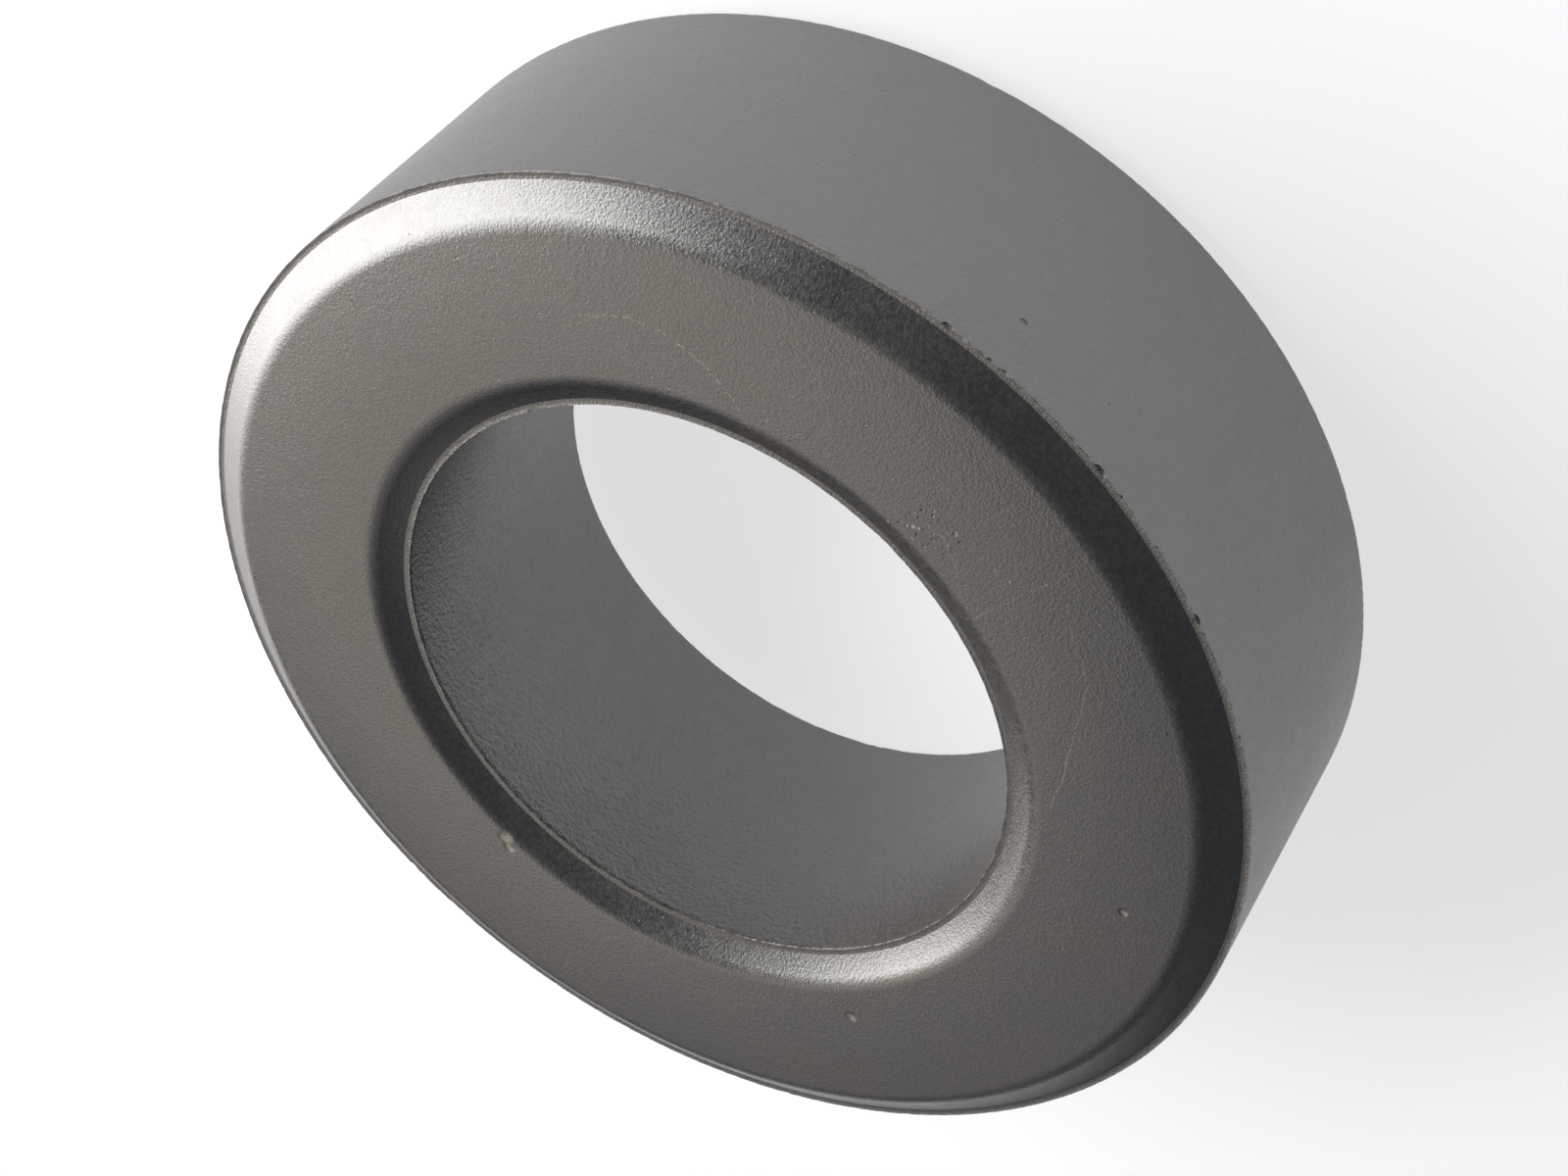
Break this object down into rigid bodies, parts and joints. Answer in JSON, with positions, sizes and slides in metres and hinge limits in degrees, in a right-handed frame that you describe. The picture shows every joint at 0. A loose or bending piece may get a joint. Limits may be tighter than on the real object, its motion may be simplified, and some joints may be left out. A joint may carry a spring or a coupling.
{
  "type": "ferrite toroid core",
  "caption": "Ring-shaped sintered ferrite core with chamfered ends, a round bore and flat end faces, wound with wire to make an inductor, choke or transformer.",
  "frame": {"origin": "centre of the bore on the lower end face, which the ring lies on", "axes": "+Z along the bore's axis, up through the upper end face; the ring is round, so X and Y are any two directions across it"},
  "size_m": [0.055, 0.055, 0.0175],
  "materials": {
    "sintered_ferrite": "satin, uncoated sintered ferrite, dark grey with a fine pressed grain"
  },
  "bodies": {
    "root": {"toroid_core": "sintered_ferrite"}
  },
  "joints": []
}
